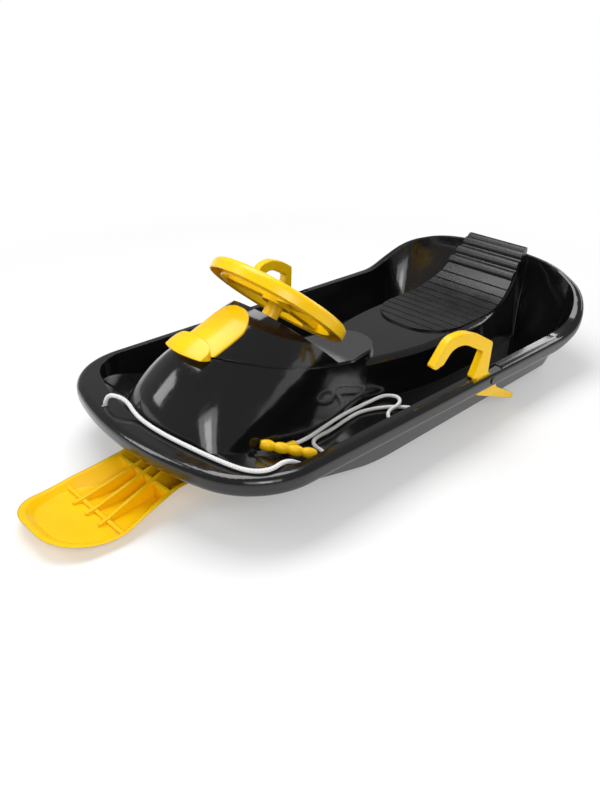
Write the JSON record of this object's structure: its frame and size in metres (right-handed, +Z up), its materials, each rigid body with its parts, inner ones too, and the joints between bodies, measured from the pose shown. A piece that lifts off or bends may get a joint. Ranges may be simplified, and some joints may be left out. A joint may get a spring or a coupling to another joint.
{
  "type": "steering sled",
  "caption": "Moulded plastic sled with a straddle seat, a ribbed seat panel, a steering wheel that turns a front ski, hand brakes and a tow rope.",
  "frame": {"origin": "on the ground under the middle of the sled's box, the free rope left out", "axes": "+Z up, -Y towards the nose, +X towards the driver's left"},
  "size_m": [0.514, 1.1413, 0.3243],
  "materials": {
    "hull_black": "glossy black moulded plastic",
    "seat_black": "satin black moulded plastic",
    "yellow": "semi-gloss warm yellow moulded plastic",
    "steel": "zinc plated steel",
    "bearing_grey": "dark grey bearing plastic",
    "rope_white": "white braided cord"
  },
  "bodies": {
    "sled": {"hull": "hull_black", "seat_pad": "seat_black", "seat_screws": "steel", "cowl": "hull_black", "cowl_screws": "steel", "windscreen_trim": "yellow", "upper_bush": "bearing_grey", "steering_column": "bearing_grey", "column_screws": "steel", "tow_rope": "rope_white", "rope_knot": "rope_white", "tow_handle": "yellow", "brake_pin_left": "hull_black", "brake_pin_right": "hull_black"},
    "steering": {"steering_wheel": "yellow", "wheel_cap": "yellow", "wheel_nut": "steel", "wheel_washer": "steel", "steering_shaft": "steel", "steering_ski": "yellow", "ski_bolt": "steel", "ski_nut": "steel"},
    "left_brake": {"brake_lever_left": "yellow"},
    "right_brake": {"brake_lever_right": "yellow"}
  },
  "joints": [
    {"name": "steering_turn", "type": "hinge", "parent": "sled", "child": "steering", "pos_m": [0, -0.094, 0.238], "axis": [0, 0.6691, 0.7431], "range_deg": [-25, 25]},
    {"name": "left_brake_pull", "type": "hinge", "parent": "sled", "child": "left_brake", "pos_m": [0.243, 0.171, 0.08854], "axis": [-1, 0, 0], "range_deg": [0, 40]},
    {"name": "right_brake_pull", "type": "hinge", "parent": "sled", "child": "right_brake", "pos_m": [-0.243, 0.171, 0.08854], "axis": [-1, 0, 0], "range_deg": [0, 40]}
  ]
}
